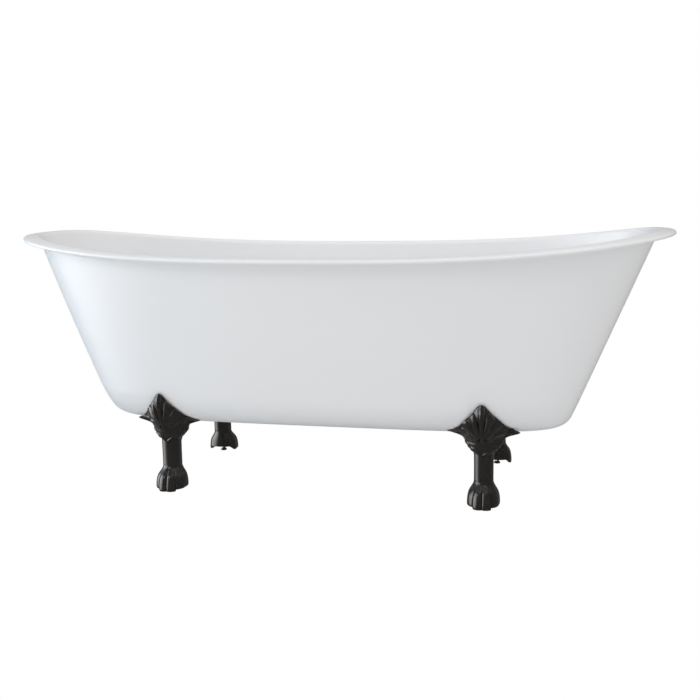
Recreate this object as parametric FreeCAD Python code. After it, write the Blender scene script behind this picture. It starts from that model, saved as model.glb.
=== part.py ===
import FreeCAD, Part
import math
import os

# A cast-iron bathtub with a rolled rim that sweeps up at both ends, standing on four
# claw feet.  Millimetres and degrees.  +X runs along the tub, +Y across it, +Z up.
# The origin is on the floor under the middle of the tub.

# ---- tub, overall
TUB_LENGTH = 1702.0          # over the rim, end to end
TUB_WIDTH = 762.0            # over the rim, side to side
MID_RIM_HEIGHT = 616.0       # floor to the crest of the rim, halfway along
END_RIM_RISE = 50.0          # extra height of the crest at each end
RIM_SWEEP_POWER = 2.8        # how late the rim starts to climb
UNDERSIDE_HEIGHT = 176.0     # floor to the flat underside
WALL = 7.0                   # iron with its enamel
RIM_PLAN_POWER = 2.7         # 2 would be an ellipse
BASE_PLAN_POWER = 3.7
END_LEAN = 23.0              # end walls, from upright
SIDE_LEAN = 13.5             # side walls, from upright
END_CORNER = 46.0            # outer radius from end wall to underside
SIDE_CORNER = 110.0          # outer radius from side wall to underside

# ---- rolled rim, in section
END_OVERHANG = 48.0          # rim tip beyond the end wall
SIDE_OVERHANG = 37.0         # rim tip beyond the side wall
LIP_DROP = 12.5              # crest down to the underside of the lip
LIP_EDGE_RADIUS = 4.8
LIP_FALL = 3.0               # crest down to the top of the lip's edge
FLARE_RADIUS = 19.0          # hollow curve under the lip
ROLL_RADIUS = 14.0           # crest over into the basin

# ---- holes for a waste kit
WASTE_HOLE = 52.0
OVERFLOW_HOLE = 60.0
OVERFLOW_BELOW_CREST = 86.0

# ---- foot lugs under the tub
FOOT_STATION = 409.0         # feet each side of the middle, along the tub
LUG_LENGTH = 56.0
LUG_WIDTH = 38.0
LUG_DEPTH = 16.0             # below the underside
LUG_CORNER = 8.0
LUG_BEHIND_FOOT = 30.0       # lug bolt, in from the foot's axis

# ---- foot casting
FOOT_REACH = 67.0            # knee point out from the foot's axis
SEAT_GAP = 0.4               # between knee and enamelled tub
KNEE_WALL = 7.0
LEG_WIDTH = 48.0
LEG_DEPTH = 50.0
LEG_SETBACK = 3.0
PAW_WIDTH = 82.0
PAW_HEIGHT = 58.0
PAW_FRONT = 52.0             # paw shell out from the foot's axis
PAW_BACK = 32.0
PAW_WALL = 7.5
PAW_EDGE_HEIGHT = 2.0        # rim of the paw above the floor; the inner toes reach it
HEEL_HEIGHT = 13.0           # heel edge above the floor
HEEL_START = 6.0             # the heel edge steps up from here back
TOE_WIDTH = 20.0             # from toe to toe
TOE_SWELL = 1.5              # each side, so that the toes grow into one another
TOE_LENGTH = 42.0
TOE_HEIGHT = 46.0
OUTER_TOE_SETBACK = 17.0
OUTER_TOE_LIFT = 3.0
HOLLOW_ROOF = 40.0           # top of the hollow under the paw

# ---- foot bolt and washer
BOLT_THREAD = 10.0
BOLT_HEAD_FLATS = 16.0
BOLT_HEAD_HEIGHT = 6.4
HEAD_ROOM = 2.5              # round the head, for a socket
BOLT_ENGAGEMENT = 14.0       # thread inside the lug
BOLT_END_ROOM = 3.0
SHELF_HOLE = 11.0
SHELF_THICKNESS = 8.0
TONGUE_MARGIN = 3.0          # shelf wider than the lug, each side
TONGUE_LENGTH = 68.0         # from inside the knee to behind the lug
TONGUE_SHIFT = 15.0          # its middle, out from the lug
WASHER_WIDTH = 20.0
WASHER_THICKNESS = 2.0
THREAD_GAP = 0.05            # radial, male thread to female thread

# ---- levelling foot
LEVEL_THREAD = 8.0
LEVEL_NUT_FLATS = 13.0
LEVEL_NUT_HEIGHT = 6.5
LEVEL_STEM_TOP = 76.0        # above the floor, at rest
LEVEL_HOLE_ROOM = 4.0
COLLAR_HEIGHT = 5.0
PAD_WIDTH = 18.0
PAD_THICKNESS = 3.5
PAD_HUB_WIDTH = 11.0
PAD_HUB_HEIGHT = 4.5
PIVOT_WIDTH = 6.0
PIVOT_GAP = 0.05             # radial, pivot in the pad's socket
PIVOT_FLOOR = 3.0            # pad left under the socket
FACE_GAP = 0.3               # between faces that turn against each other

RING_POINTS = 96
CORNER_STEPS = 8
ARC_STEPS = 3

HALF_LENGTH = TUB_LENGTH / 2
HALF_WIDTH = TUB_WIDTH / 2
UP = FreeCAD.Vector(0, 0, 1)


def vector(x, y, z):
    return FreeCAD.Vector(x, y, z)


# ------------------------------------------------------------------ tub
def plan_point(angle, power):
    """A point of the unit superellipse."""
    c, s = math.cos(angle), math.sin(angle)
    size = (abs(c) ** power + abs(s) ** power) ** (1 / power)
    return c / size, s / size


def crest_height(along):
    """Height of the rim's crest; along runs from 0 at mid length to 1 at an end."""
    return MID_RIM_HEIGHT + END_RIM_RISE * abs(along) ** RIM_SWEEP_POWER


def ring(half_length, half_width, power, height):
    """A closed smooth curve round the tub; height is a function of along."""
    points = []
    for i in range(RING_POINTS):
        ux, uy = plan_point(2 * math.pi * i / RING_POINTS, power)
        points.append(vector(half_length * ux, half_width * uy, height(ux)))
    curve = Part.BSplineCurve()
    steps = [float(i) for i in range(RING_POINTS + 1)]
    curve.interpolate(Points=points, PeriodicFlag=True, Parameters=steps)
    return Part.Wire([curve.toShape()])


class WallLine:
    """The outline of one wall in section: a leaning line and a rounded corner."""

    def __init__(self, lean, corner, top_reach, top_drop, inset):
        self.lean = math.radians(lean)
        self.corner = corner - inset
        self.floor = UNDERSIDE_HEIGHT + inset
        self.top_reach = top_reach
        self.top_drop = top_drop

    def bend_height(self):
        """Where the leaning line meets the corner's arc."""
        return self.floor + self.corner * (1 - math.sin(self.lean))

    def reach(self, z, crest):
        """Distance from the tub's middle at height z, under a crest of this height."""
        bend = self.bend_height()
        slope = math.tan(self.lean)
        if z >= bend:
            return self.top_reach - (crest - self.top_drop - z) * slope
        bend_reach = self.top_reach - (crest - self.top_drop - bend) * slope
        centre = bend_reach - self.corner * math.cos(self.lean)
        below = self.floor + self.corner - z
        return centre + math.sqrt(max(self.corner ** 2 - below ** 2, 0.0))


def flare_start_drop(lean):
    """Crest down to where the wall begins to flare into the lip."""
    return LIP_DROP + FLARE_RADIUS * (1 - math.sin(math.radians(lean)))


def roll_end(lean, overhang):
    """Inset and drop, from the rim's tip and crest, where the roll joins the basin wall."""
    a = math.radians(lean)
    drop = ROLL_RADIUS * (1 - math.sin(a))
    inset = overhang - (flare_start_drop(lean) - drop) * math.tan(a) + WALL / math.cos(a)
    return inset, drop


OUTER_END = WallLine(END_LEAN, END_CORNER, HALF_LENGTH - END_OVERHANG,
                     flare_start_drop(END_LEAN), 0.0)
OUTER_SIDE = WallLine(SIDE_LEAN, SIDE_CORNER, HALF_WIDTH - SIDE_OVERHANG,
                      flare_start_drop(SIDE_LEAN), 0.0)
END_ROLL = roll_end(END_LEAN, END_OVERHANG)
SIDE_ROLL = roll_end(SIDE_LEAN, SIDE_OVERHANG)
INNER_END = WallLine(END_LEAN, END_CORNER, HALF_LENGTH - END_ROLL[0], END_ROLL[1], WALL)
INNER_SIDE = WallLine(SIDE_LEAN, SIDE_CORNER, HALF_WIDTH - SIDE_ROLL[0], SIDE_ROLL[1], WALL)
END_CREST = crest_height(1)


def plan_power(z):
    """The plan goes from squarish at the base to rounder at the rim."""
    bend = OUTER_SIDE.bend_height()
    share = max((z - bend) / (MID_RIM_HEIGHT - bend), 0.0)
    return BASE_PLAN_POWER + share * (RIM_PLAN_POWER - BASE_PLAN_POWER)


def level_ring(end, side, z, gap=0.0):
    """A flat ring at height z, gap outside the wall."""
    half_length = end.reach(z, END_CREST) + gap
    half_width = side.reach(z, MID_RIM_HEIGHT) + gap
    return ring(half_length, half_width, plan_power(z), lambda along: z - gap)


def corner_rings(end, side, gap=0.0):
    """Flat rings from the underside up round the corner to the leaning walls."""
    rings = []
    last = math.pi / 2 - side.lean
    for i in range(CORNER_STEPS + 1):
        z = side.floor + side.corner * (1 - math.cos(last * i / CORNER_STEPS))
        rings.append(level_ring(end, side, z, gap=gap))
    return rings


def wall_rings(end, side):
    """Rings up the leaning walls; they bend to the sweep of the rim on the way."""
    start = side.bend_height()
    half_length = end.reach(start, END_CREST)
    half_width = side.reach(start, MID_RIM_HEIGHT)
    rings = []
    for share in (0.2, 0.4, 0.6, 0.8, 1.0):

        def height(along, share=share):
            drop = side.top_drop + (end.top_drop - side.top_drop) * abs(along)
            return start + share * (crest_height(along) - drop - start)

        rings.append(ring(half_length + share * (end.top_reach - half_length),
                          half_width + share * (side.top_reach - half_width),
                          plan_power(height(0)), height))
    return rings


def rim_outline(lean, overhang):
    """Inset from the tip and drop from the crest, from the flare round to the roll."""
    a = math.radians(lean)
    outline = []
    flare_inset = overhang - FLARE_RADIUS * math.cos(a)
    for i in range(1, ARC_STEPS + 1):
        turn = a + (math.pi / 2 - a) * i / ARC_STEPS
        outline.append((flare_inset + FLARE_RADIUS * math.cos(turn),
                        LIP_DROP + FLARE_RADIUS * (1 - math.sin(turn))))
    for i in range(ARC_STEPS + 2):
        turn = -math.pi / 2 + math.pi * i / (ARC_STEPS + 1)
        outline.append((LIP_EDGE_RADIUS * (1 - math.cos(turn)),
                        LIP_DROP - (LIP_DROP - LIP_FALL) * (1 + math.sin(turn)) / 2))
    roll_inset, roll_drop = roll_end(lean, overhang)
    crest_inset = roll_inset - ROLL_RADIUS * math.cos(a)
    half = (LIP_EDGE_RADIUS + crest_inset) / 2
    outline.append((half, LIP_FALL * 0.35))
    outline.append((crest_inset, 0.0))
    for i in range(1, ARC_STEPS):
        turn = math.pi / 2 + (a - math.pi / 2) * i / ARC_STEPS
        outline.append((crest_inset + ROLL_RADIUS * math.cos(turn),
                        ROLL_RADIUS * (1 - math.sin(turn))))
    outline.append((roll_inset, roll_drop))
    return outline


def rim_rings():
    """Rings from the flare, round the lip and over the crest into the basin."""
    rings = []
    pairs = zip(rim_outline(END_LEAN, END_OVERHANG), rim_outline(SIDE_LEAN, SIDE_OVERHANG))
    for (end_inset, end_drop), (side_inset, side_drop) in pairs:

        def height(along, end_drop=end_drop, side_drop=side_drop):
            return crest_height(along) - side_drop - (end_drop - side_drop) * abs(along)

        rings.append(ring(HALF_LENGTH - end_inset, HALF_WIDTH - side_inset,
                          plan_power(height(0)), height))
    return rings


def surface_half_width(x, z):
    """How far out the tub's side is at this place on its lower body."""
    reach = OUTER_SIDE.reach(z, MID_RIM_HEIGHT)
    length = OUTER_END.reach(z, END_CREST)
    power = plan_power(z)
    return reach * (1 - (abs(x) / length) ** power) ** (1 / power)


def sewn_solid(faces):
    shell = Part.makeShell(faces)
    shell.sewShape()
    return Part.Solid(shell.Shells[0])


def tub_shell():
    """The bare shell: strips of smooth skin from the underside over the rim to the floor."""
    outer_corner = corner_rings(OUTER_END, OUTER_SIDE)
    outer_wall = wall_rings(OUTER_END, OUTER_SIDE)
    inner_corner = corner_rings(INNER_END, INNER_SIDE)
    inner_wall = wall_rings(INNER_END, INNER_SIDE)
    rim = rim_rings()
    flare = rim[:ARC_STEPS + 1]
    lip = rim[ARC_STEPS:2 * ARC_STEPS + 2]
    roll = rim[2 * ARC_STEPS + 1:-1]
    strips = [outer_corner,
              [outer_corner[-1]] + outer_wall,
              [outer_wall[-1]] + flare,
              lip,
              roll + [inner_wall[-1]],
              [inner_corner[-1]] + inner_wall,
              inner_corner]
    faces = [Part.Face(outer_corner[0]), Part.Face(inner_corner[0])]
    for strip in strips:
        faces += Part.makeLoft(strip, False, False).Faces
    return sewn_solid(faces)


def mirrored_four(shape):
    """The shape beside the near right foot, and its three mirror images."""
    left = shape.mirror(vector(0, 0, 0), vector(1, 0, 0))
    far_right = shape.mirror(vector(0, 0, 0), vector(0, 1, 0))
    far_left = left.mirror(vector(0, 0, 0), vector(0, 1, 0))
    return {"front_left": left, "front_right": shape,
            "rear_left": far_left, "rear_right": far_right}


def rounded_block(length, width, height, corner, centre):
    """An upright block with rounded corners; centre is the middle of its base."""
    block = Part.makeBox(length, width, height,
                         centre - vector(length / 2, width / 2, 0))
    upright = [e for e in block.Edges if abs(e.tangentAt(e.FirstParameter).z) > 0.9]
    return block.makeFillet(corner, upright)


def rod(width, bottom, top, x=0.0, y=0.0):
    """An upright round bar or hole."""
    return Part.makeCylinder(width / 2, top - bottom, vector(x, y, bottom))


def hexagon(flats, bottom, top, x=0.0, y=0.0):
    """An upright hexagonal bar."""
    corner = flats / math.sqrt(3)
    points = []
    for i in range(7):
        angle = math.radians(60 * i + 30)
        points.append(vector(x + corner * math.cos(angle), y + corner * math.sin(angle), bottom))
    return Part.Face(Part.makePolygon(points)).extrude(UP * (top - bottom))


def chamfered_hexagon(flats, bottom, top, x=0.0, y=0.0):
    """A hexagon whose corners are turned off at both faces, as on a nut."""
    bar = hexagon(flats, bottom, top, x, y)
    corner = flats / math.sqrt(3)
    fall = (corner - flats / 2) * 0.6
    low = Part.makeCone(flats / 2, corner, fall, vector(x, y, bottom))
    high = Part.makeCone(corner, flats / 2, fall, vector(x, y, top - fall))
    turned = low.fuse([high, rod(2 * corner, bottom + fall, top - fall, x, y)])
    return bar.common(turned)


def one_solid(shape):
    """The largest solid of a cut or a join."""
    return max(shape.Solids, key=lambda s: s.Volume)


# ---- places under the tub, beside the near right foot
KNEE_POINT_HEIGHT = UNDERSIDE_HEIGHT + 89.0
FOOT_X = FOOT_STATION
FOOT_Y = -(surface_half_width(FOOT_STATION, KNEE_POINT_HEIGHT) + 5.0 - FOOT_REACH)
LUG_Y = FOOT_Y + LUG_BEHIND_FOOT
LUG_BOTTOM = UNDERSIDE_HEIGHT - LUG_DEPTH
LUG_TOP = UNDERSIDE_HEIGHT + WALL - 2.0
BOLT_TIP = LUG_BOTTOM + BOLT_ENGAGEMENT
SHELF_BOTTOM = LUG_BOTTOM - SHELF_THICKNESS


def overflow_hole():
    """A round bar square to the far wall, for cutting the overflow hole."""
    lean = math.radians(SIDE_LEAN)
    z = MID_RIM_HEIGHT - OVERFLOW_BELOW_CREST
    wall_y = OUTER_SIDE.reach(z, MID_RIM_HEIGHT)
    out = vector(0, math.cos(lean), -math.sin(lean))
    return Part.makeCylinder(OVERFLOW_HOLE / 2, 8 * WALL, vector(0, wall_y, z) - out * 4 * WALL, out)


def tub_casting():
    """The tub with its four foot lugs, waste hole and overflow hole."""
    lug = rounded_block(LUG_LENGTH, LUG_WIDTH, LUG_TOP - LUG_BOTTOM, LUG_CORNER,
                        vector(FOOT_X, LUG_Y, LUG_BOTTOM))
    thread = rod(BOLT_THREAD + 2 * THREAD_GAP, LUG_BOTTOM - 1, BOLT_TIP + BOLT_END_ROOM,
                 FOOT_X, LUG_Y)
    tub = tub_shell().fuse(list(mirrored_four(lug).values()))
    waste = rod(WASTE_HOLE, UNDERSIDE_HEIGHT - WALL, UNDERSIDE_HEIGHT + 2 * WALL)
    return one_solid(tub.cut([waste, overflow_hole()] + list(mirrored_four(thread).values())))


def tub_envelope():
    """The space that the tub's lower body fills, for seating the knees against it."""
    rings = corner_rings(OUTER_END, OUTER_SIDE, SEAT_GAP)
    top = KNEE_POINT_HEIGHT + 40
    rings.append(level_ring(OUTER_END, OUTER_SIDE, (rings_top() + top) / 2, gap=SEAT_GAP))
    rings.append(level_ring(OUTER_END, OUTER_SIDE, top, gap=SEAT_GAP))
    return Part.makeLoft(rings, True, False)


def rings_top():
    return OUTER_SIDE.bend_height()


# ------------------------------------------------------------------ foot casting
# The foot is drawn with its axis at x = 0, y = 0 and its front towards -Y.
LEG_TOP = UNDERSIDE_HEIGHT - 46.0

# Height from the underside, half width, ridge and edge out from the foot's axis.  Above
# the underside the ridge and edge count from the tub's side instead.
KNEE_BELOW = (
    (-56.0, 18.0, 15.0, -4.0),
    (-46.0, 25.5, 23.5, -3.0),
    (-36.0, 32.0, 28.5, -2.0),
    (-27.0, 39.0, 33.0, -2.0),
    (-16.0, 47.0, 37.5, -1.0),
    (-6.0, 54.0, 41.0, 0.0),
    (4.0, 66.0, 46.0, 5.0),
    (11.0, 86.0, 50.0, 9.0),
)
KNEE_ABOVE = (
    (19.0, 72.0, 39.0, 5.0),
    (27.0, 59.0, 34.0, 5.0),
    (45.0, 43.0, 24.0, 6.0),
    (60.0, 30.0, 19.0, 6.0),
    (75.0, 16.0, 14.0, 6.0),
    (87.0, 4.0, 5.0, 4.0),
)
KNEE_BACK = LEG_DEPTH / 2 + LEG_SETBACK - 2.0


def knee_sections():
    """Height, half width, ridge and edge of each level section of the knee."""
    sections = [(UNDERSIDE_HEIGHT + z, w, ridge, edge) for z, w, ridge, edge in KNEE_BELOW]
    for z, w, ridge, edge in KNEE_ABOVE:
        height = UNDERSIDE_HEIGHT + z
        middle = surface_half_width(FOOT_X, height) + FOOT_Y
        side = surface_half_width(FOOT_X + w, height) + FOOT_Y
        sections.append((height, w, middle + ridge, side + edge))
    return sections


def knee_wire(z, half_width, ridge, edge, back, roundness):
    """A level section: a front that rises from both edges to a ridge, and a flat back."""
    front = []
    for i in range(-6, 7):
        s = abs(i) / 6
        round_rise = math.sqrt(1 - s * s)
        keen_rise = (1 - s) ** 1.15
        rise = roundness * round_rise + (1 - roundness) * keen_rise
        front.append(vector(half_width * i / 6, -(edge + (ridge - edge) * rise), z))
    left, right = front[:7], front[6:]
    edges = []
    for points in (left, right):
        curve = Part.BSplineCurve()
        curve.interpolate(Points=points, Parameters=[float(i) for i in range(len(points))])
        edges.append(curve.toShape())
    corners = [front[-1], vector(half_width, back, z), vector(-half_width, back, z), front[0]]
    for a, b in zip(corners, corners[1:]):
        edges.append(Part.makeLine(a, b))
    return Part.Wire(edges)


def knee_mass(inset, back):
    """The knee as a solid; inset takes that much off its front and edges."""
    wires = []
    for z, half_width, ridge, edge in knee_sections():
        roundness = max(0.0, min(1.0, (UNDERSIDE_HEIGHT - 10.0 - z) / 40.0))
        width = max(half_width - 1.3 * inset, 3.0)
        wires.append(knee_wire(z, width, ridge - 1.3 * inset, edge - inset, back, roundness))
    widest = len(KNEE_BELOW)
    first, last = (3, -1) if inset else (0, None)
    low = Part.makeLoft(wires[first:widest], True, False)
    high = Part.makeLoft(wires[widest - 1:last], True, False)
    return low, high


def oval_wire(z, half_width, front, back, power=2.3):
    """A level oval section from front, towards -Y, to back."""
    points = []
    for i in range(24):
        ux, uy = plan_point(2 * math.pi * i / 24, power)
        points.append(vector(half_width * ux, (back - front) / 2 + (front + back) / 2 * uy, z))
    curve = Part.BSplineCurve()
    curve.interpolate(Points=points, PeriodicFlag=True, Parameters=[float(i) for i in range(25)])
    return Part.Wire([curve.toShape()])


def leg_mass():
    """Paw without toes, ankle and round leg, in one sweep of level sections."""
    w, f, b = PAW_WIDTH / 2, PAW_FRONT, PAW_BACK
    leg_w, leg_f, leg_b = LEG_WIDTH / 2, LEG_DEPTH / 2 - LEG_SETBACK, LEG_DEPTH / 2 + LEG_SETBACK
    h = PAW_HEIGHT
    wires = [oval_wire(PAW_EDGE_HEIGHT, w * 0.98, f * 0.98, b * 0.97),
             oval_wire(h * 0.28, w, f, b),
             oval_wire(h * 0.55, w * 0.96, f * 0.95, b),
             oval_wire(h * 0.78, w * 0.83, f * 0.79, b * 0.97),
             oval_wire(h * 0.93, leg_w * 1.12, leg_f * 1.22, b * 0.91)]
    for share in (0.0, 0.15, 0.5, 0.8, 1.0):
        z = h * 1.07 + share * (LEG_TOP + 6.0 - h * 1.07)
        wires.append(oval_wire(z, leg_w, leg_f, leg_b, 2.0))
    return Part.makeLoft(wires, True, False)


def toe(x, front, sole):
    """One toe: an egg lying along the paw, cut off at its sole."""
    egg = Part.makeSphere(1.0)
    scale = FreeCAD.Matrix()
    scale.scale(TOE_WIDTH / 2 + TOE_SWELL, TOE_LENGTH / 2, TOE_HEIGHT / 2)
    egg = egg.transformGeometry(scale)
    egg.translate(vector(x, -(front - TOE_LENGTH / 2), sole + TOE_HEIGHT * 0.42))
    below = Part.makeBox(4 * TOE_WIDTH, 4 * TOE_LENGTH, TOE_HEIGHT,
                         vector(x - 2 * TOE_WIDTH, -4 * TOE_LENGTH, sole - TOE_HEIGHT))
    return egg.cut(below)


def toes():
    """Two inner toes on the floor, and two outer ones set back and a little higher."""
    front = PAW_FRONT + 8.0
    made = []
    for i in (-1.5, -0.5, 0.5, 1.5):
        outer = abs(i) > 1
        made.append(toe(i * TOE_WIDTH,
                        front - (OUTER_TOE_SETBACK if outer else 0),
                        OUTER_TOE_LIFT if outer else 0.0))
    return made


def paw_hollow():
    """The space under the paw, and the step that lifts its heel."""
    w, f, b = PAW_WIDTH / 2 - PAW_WALL, PAW_FRONT - PAW_WALL, PAW_BACK - PAW_WALL
    hollow = Part.makeLoft([oval_wire(0, w, f, b), oval_wire(HOLLOW_ROOF * 0.6, w, f, b),
                            oval_wire(HOLLOW_ROOF, w * 0.72, f * 0.66, b * 0.86)], True, False)
    heel = Part.makeBox(2 * PAW_WIDTH, 2 * PAW_BACK, HEEL_HEIGHT,
                        vector(-PAW_WIDTH, -HEEL_START, 0))
    return [hollow, heel]


def foot_casting(envelope):
    """One foot, in its place under the near right of the tub."""
    low_knee, high_knee = knee_mass(0.0, KNEE_BACK)
    shelf_slab = Part.makeBox(400, 400, SHELF_THICKNESS, vector(-200, -200, SHELF_BOTTOM))
    low_hollow, high_hollow = knee_mass(KNEE_WALL, 4 * KNEE_BACK)
    lug_y = LUG_BEHIND_FOOT
    tongue = rounded_block(LUG_WIDTH + 2 * TONGUE_MARGIN, TONGUE_LENGTH, SHELF_THICKNESS,
                           LUG_CORNER, vector(0, lug_y - TONGUE_SHIFT, SHELF_BOTTOM))
    foot = leg_mass()
    for piece in toes() + [low_knee, high_knee]:
        foot = foot.fuse(piece)
    for space in paw_hollow() + [low_hollow.cut(shelf_slab), high_hollow]:
        foot = foot.cut(space)
    foot = foot.fuse(tongue)
    level_hole = rod(LEVEL_THREAD + 2 * THREAD_GAP, 0, LEVEL_STEM_TOP + LEVEL_HOLE_ROOM)
    bolt_hole = rod(SHELF_HOLE, SHELF_BOTTOM - 1, LUG_BOTTOM + 1, 0, lug_y)
    head_reach = BOLT_HEAD_FLATS / math.sqrt(3) + HEAD_ROOM
    head_pocket = rod(2 * head_reach, LEVEL_STEM_TOP, SHELF_BOTTOM, 0, lug_y)
    above_shelf = Part.makeBox(400, 400, 400, vector(-200, lug_y - LUG_WIDTH / 2 - SEAT_GAP, LUG_BOTTOM))
    for space in (level_hole, bolt_hole, head_pocket, above_shelf):
        foot = foot.cut(space)
    foot.translate(vector(FOOT_X, FOOT_Y, 0))
    return one_solid(foot.cut(envelope))


# ------------------------------------------------------------------ fastenings
def foot_bolt():
    """Hexagon bolt from below the shelf up into the lug."""
    seat = SHELF_BOTTOM - WASHER_THICKNESS
    head = chamfered_hexagon(BOLT_HEAD_FLATS, seat - BOLT_HEAD_HEIGHT, seat, FOOT_X, LUG_Y)
    return head.fuse(rod(BOLT_THREAD, seat - 0.5, BOLT_TIP, FOOT_X, LUG_Y))


def foot_washer():
    seat = SHELF_BOTTOM - WASHER_THICKNESS
    washer = rod(WASHER_WIDTH, seat, SHELF_BOTTOM, FOOT_X, LUG_Y)
    return washer.cut(rod(SHELF_HOLE, seat - 1, SHELF_BOTTOM + 1, FOOT_X, LUG_Y))


def lock_nut():
    """Hexagon nut against the roof of the hollow paw."""
    nut = chamfered_hexagon(LEVEL_NUT_FLATS, HOLLOW_ROOF - LEVEL_NUT_HEIGHT, HOLLOW_ROOF,
                            FOOT_X, FOOT_Y)
    return nut.cut(rod(LEVEL_THREAD + 2 * THREAD_GAP, 0, HOLLOW_ROOF + 1, FOOT_X, FOOT_Y))


def levelling_bolt():
    """Threaded stem, hexagon collar and the pivot that turns in the pad."""
    collar_low = PAD_THICKNESS + PAD_HUB_HEIGHT + FACE_GAP
    collar = chamfered_hexagon(LEVEL_NUT_FLATS, collar_low, collar_low + COLLAR_HEIGHT,
                               FOOT_X, FOOT_Y)
    stem = rod(LEVEL_THREAD, collar_low + COLLAR_HEIGHT / 2, LEVEL_STEM_TOP, FOOT_X, FOOT_Y)
    pivot = rod(PIVOT_WIDTH, PIVOT_FLOOR + FACE_GAP, collar_low + COLLAR_HEIGHT / 2,
                FOOT_X, FOOT_Y)
    return one_solid(collar.fuse([stem, pivot]))


def levelling_pad():
    """Round pad on the floor with a hub and a blind socket."""
    disc = rod(PAD_WIDTH, 0, PAD_THICKNESS, FOOT_X, FOOT_Y)
    rims = [e for e in disc.Edges if e.Length > PAD_WIDTH and e.BoundBox.ZLength < 0.1]
    disc = disc.makeFillet(PAD_THICKNESS * 0.3, rims)
    hub = Part.makeCone(PAD_HUB_WIDTH / 2 + 1, PAD_HUB_WIDTH / 2, PAD_HUB_HEIGHT + 0.5,
                        vector(FOOT_X, FOOT_Y, PAD_THICKNESS - 0.5))
    socket = rod(PIVOT_WIDTH + 2 * PIVOT_GAP, PIVOT_FLOOR,
                 PAD_THICKNESS + PAD_HUB_HEIGHT + 1, FOOT_X, FOOT_Y)
    return disc.fuse(hub).cut(socket)


def export(name, shape):
    shape = one_solid(shape)
    shape.exportStep("parts/" + name + ".step")
    print(name, shape.isValid(), round(shape.Volume / 1000, 1), "cm3")


os.makedirs("parts", exist_ok=True)
export("tub_casting", tub_casting())
for kind, shape in (("claw_foot", foot_casting(tub_envelope())),
                    ("foot_bolt", foot_bolt()),
                    ("foot_washer", foot_washer()),
                    ("lock_nut", lock_nut()),
                    ("levelling_bolt", levelling_bolt()),
                    ("levelling_pad", levelling_pad())):
    for corner, copy in mirrored_four(shape).items():
        export(kind + "_" + corner, copy)
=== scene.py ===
import bpy
import bmesh
import math
from mathutils import Matrix, Vector


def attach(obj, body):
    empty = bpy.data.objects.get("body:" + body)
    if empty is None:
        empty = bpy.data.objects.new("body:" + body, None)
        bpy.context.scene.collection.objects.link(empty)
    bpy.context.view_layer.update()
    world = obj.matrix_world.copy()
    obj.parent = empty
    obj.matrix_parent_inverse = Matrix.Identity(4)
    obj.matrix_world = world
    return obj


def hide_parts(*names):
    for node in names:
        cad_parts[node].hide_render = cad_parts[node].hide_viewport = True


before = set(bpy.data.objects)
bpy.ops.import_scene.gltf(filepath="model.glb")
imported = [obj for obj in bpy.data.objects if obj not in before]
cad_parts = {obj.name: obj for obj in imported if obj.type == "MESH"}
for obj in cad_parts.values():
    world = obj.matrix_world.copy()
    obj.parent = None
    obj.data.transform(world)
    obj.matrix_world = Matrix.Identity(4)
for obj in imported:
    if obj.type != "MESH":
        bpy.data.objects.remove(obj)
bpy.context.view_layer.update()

# Clawfoot bathtub. The tub and the four feet are made again here, finer than their
# solids; the fastenings and the pads are the solids' own meshes with a better finish.
# The sections of tub, knee and leg change all the way along and round, so these are rows
# of points set by formulas and stitched together. Sizes are in millimetres and become
# metres in the meshes.
MM = 0.001

# ---- tub
TUB_LENGTH, TUB_WIDTH = 1702.0, 762.0
MID_RIM_HEIGHT, END_RIM_RISE, RIM_SWEEP_POWER = 616.0, 50.0, 2.8
UNDERSIDE_HEIGHT, WALL = 176.0, 7.0
RIM_PLAN_POWER, BASE_PLAN_POWER = 2.7, 3.7
END_LEAN, SIDE_LEAN = 23.0, 13.5
END_CORNER, SIDE_CORNER = 46.0, 110.0
END_OVERHANG, SIDE_OVERHANG = 48.0, 37.0
LIP_DROP, LIP_EDGE_RADIUS, LIP_FALL, LIP_FALL_POWER = 12.5, 4.8, 3.0, 1.7
FLARE_RADIUS, ROLL_RADIUS = 19.0, 14.0
WASTE_RADIUS, OVERFLOW_RADIUS, OVERFLOW_HEIGHT = 26.0, 30.0, 530.0
HOLE_SHADE_BAND = 2.5                          # painted shade: a dark band round the overflow hole, for the shade inside it
EDGE_ROUND, FLOOR_EDGE_ROUND = 1.5, 2.0  # roundings of the holes' edges
ROUND_MIDDLE = 0.3                       # a rounding's middle point, as a share of its radius
FOOT_X, FOOT_Y = 409.0, 189.5572         # the feet's axes, where the solids have them
LUG_INSET, LUG_HALF_LENGTH, LUG_HALF_WIDTH = 30.0, 28.0, 19.0
LUG_BOTTOM, LUG_TOP, LUG_EDGE_RADIUS = 160.0, 180.0, 5.0

# how finely the tub is divided
COLUMNS = 512
OUTER_WALL_ROWS, INNER_WALL_ROWS, CORNER_ROWS, FLOOR_ROWS = 50, 52, 16, 8
FLARE_ROWS, LIP_ROWS, ROLL_ROWS = 7, 8, 8
LIP_TOP_SHARES = (0.2, 0.4, 0.6, 0.8)
# the overflow hole takes the place of this patch of faces, counted from its middle
HOLE_COLUMN, HOLE_COLUMNS, HOLE_ROWS = COLUMNS // 4, 3, 5
PUSH_REACH = 1.6                         # the rows are moved this far out, in patch sizes
# the material of the overflow hole's band and bore: painted shade of the hole's inside
HOLE_SHADE_INDEX = 1


def superellipse(angle, power):
    c, s = math.cos(angle), math.sin(angle)
    size = (abs(c) ** power + abs(s) ** power) ** (1 / power)
    return c / size, s / size


def crest_height(along):
    return MID_RIM_HEIGHT + END_RIM_RISE * abs(along) ** RIM_SWEEP_POWER


def ring(half_length, half_width, power, height):
    row = []
    for i in range(COLUMNS):
        ux, uy = superellipse(2 * math.pi * i / COLUMNS, power)
        row.append(Vector((half_length * ux, half_width * uy, height(ux))))
    return row


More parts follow.
